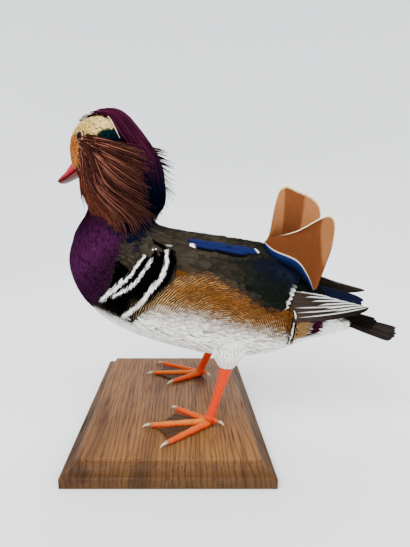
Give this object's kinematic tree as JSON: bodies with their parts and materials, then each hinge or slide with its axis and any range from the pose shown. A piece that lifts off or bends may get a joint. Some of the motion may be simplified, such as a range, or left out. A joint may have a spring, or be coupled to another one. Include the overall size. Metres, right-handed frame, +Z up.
{
  "type": "mounted mandarin duck on a wooden base",
  "caption": "Life-size drake duck with crest, rust ruff, upright orange sail feathers and folded wings, standing on a moulded oak base board.",
  "frame": {"origin": "centre of the underside of the base board", "axes": "+Z up, the bird's body faces -X with its left side to -Y and its tail to +X"},
  "size_m": [0.3121, 0.203, 0.275],
  "materials": {
    "oak": "stained oak with a thin satin varnish",
    "body_plumage": "soft contour feathers: white belly, golden flanks, purple breast",
    "face_plumage": "short dense feathers, cream and orange-brown",
    "ruff_plumage": "narrow glossy hackles, rust with pale shafts",
    "crest_plumage": "long silky feathers, maroon to blue-black",
    "wing_plumage": "olive-brown coverts with blue secondaries",
    "sail_plumage": "one broad stiff feather, orange-cinnamon with a pale edge",
    "quill_plumage": "stiff grey-brown quills with silvery outer webs",
    "glass_eye": "polished dark glass",
    "bill_horn": "painted horn, crimson with a pale nail",
    "leg_skin": "scaly painted skin, orange, webs grey-brown",
    "claw_horn": "horn, cream to brown"
  },
  "bodies": {
    "root": {"base_board": "oak", "torso": "body_plumage", "neck": "ruff_plumage", "head": "face_plumage", "eye_left": "glass_eye", "eye_right": "glass_eye", "bill_upper": "bill_horn", "bill_lower": "bill_horn", "crest": "crest_plumage", "ruff_left": "ruff_plumage", "ruff_right": "ruff_plumage", "wing_left": "wing_plumage", "wing_right": "wing_plumage", "sail_left": "sail_plumage", "sail_right": "sail_plumage", "primaries_left": "quill_plumage", "primaries_right": "quill_plumage", "tail": "quill_plumage", "thigh_left": "body_plumage", "thigh_right": "body_plumage", "shank_left": "leg_skin", "shank_right": "leg_skin", "foot_left": "leg_skin", "foot_right": "leg_skin", "claw_left_inner": "claw_horn", "claw_left_middle": "claw_horn", "claw_left_outer": "claw_horn", "claw_left_hind": "claw_horn", "claw_right_inner": "claw_horn", "claw_right_middle": "claw_horn", "claw_right_outer": "claw_horn", "claw_right_hind": "claw_horn"}
  },
  "joints": []
}
